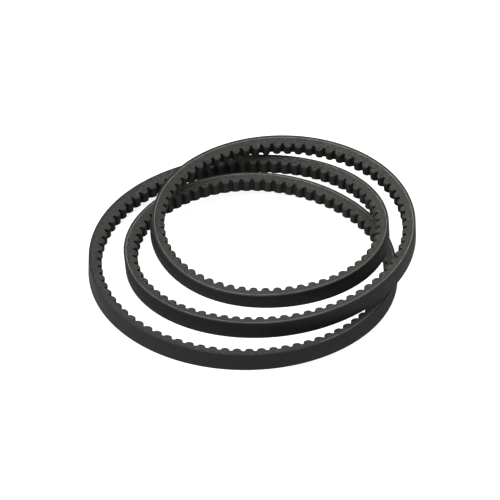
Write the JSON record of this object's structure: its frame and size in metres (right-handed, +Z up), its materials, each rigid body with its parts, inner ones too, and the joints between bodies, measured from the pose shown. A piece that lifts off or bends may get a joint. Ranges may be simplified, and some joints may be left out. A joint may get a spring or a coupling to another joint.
{
  "type": "v belt",
  "caption": "endless raw-edge cogged V belt coiled into three turns, its back outward and its cogs inward, with loops that lift off the pile",
  "frame": {"origin": "floor level, in the middle of the coil's outline seen from above", "axes": "+Z up, -Y to the front where the three strands lie apart, +X to the right seen from the front"},
  "size_m": [0.2728, 0.2506, 0.0432],
  "materials": {
    "back_canvas": "satin rubber-coated canvas, near black",
    "inner_canvas": "matte brown-black rubbered canvas edge",
    "cushion_rubber": "matte ground rubber",
    "tension_cord": "cut polyester cord, beige",
    "compression_rubber": "matte fibre-loaded rubber, ground flanks and dark moulded cogs"
  },
  "bodies": {
    "pile": {"back_fabric": "back_canvas", "inner_fabric": "inner_canvas", "tension_rubber": "cushion_rubber", "cord_ply": "tension_cord", "adhesion_rubber": "cushion_rubber", "cog_body": "compression_rubber"},
    "front_loop": {"front_loop_back_fabric": "back_canvas", "front_loop_inner_fabric": "inner_canvas", "front_loop_tension_rubber": "cushion_rubber", "front_loop_cord_ply": "tension_cord", "front_loop_adhesion_rubber": "cushion_rubber", "front_loop_cog_body": "compression_rubber"},
    "middle_loop": {"middle_loop_back_fabric": "back_canvas", "middle_loop_inner_fabric": "inner_canvas", "middle_loop_tension_rubber": "cushion_rubber", "middle_loop_cord_ply": "tension_cord", "middle_loop_adhesion_rubber": "cushion_rubber", "middle_loop_cog_body": "compression_rubber"},
    "rear_loop": {"rear_loop_back_fabric": "back_canvas", "rear_loop_inner_fabric": "inner_canvas", "rear_loop_tension_rubber": "cushion_rubber", "rear_loop_cord_ply": "tension_cord", "rear_loop_adhesion_rubber": "cushion_rubber", "rear_loop_cog_body": "compression_rubber"}
  },
  "joints": [
    {"name": "front_loop_lift", "type": "hinge", "parent": "pile", "child": "front_loop", "pos_m": [0.01387, -0.00527, 0.04203], "axis": [-0.9991, 0.042, -0.0064], "range_deg": [0, 30], "stiffness_Nm_per_rad": 0.04},
    {"name": "middle_loop_lift", "type": "hinge", "parent": "pile", "child": "middle_loop", "pos_m": [0.01254, -0.01206, 0.03549], "axis": [-0.9976, 0.0038, -0.0694], "range_deg": [0, 15], "stiffness_Nm_per_rad": 0.04},
    {"name": "rear_loop_lift", "type": "hinge", "parent": "pile", "child": "rear_loop", "pos_m": [0.02573, 0.02265, 0.04279], "axis": [0.9992, 0.039, 0.0075], "range_deg": [0, 25], "stiffness_Nm_per_rad": 0.04}
  ]
}
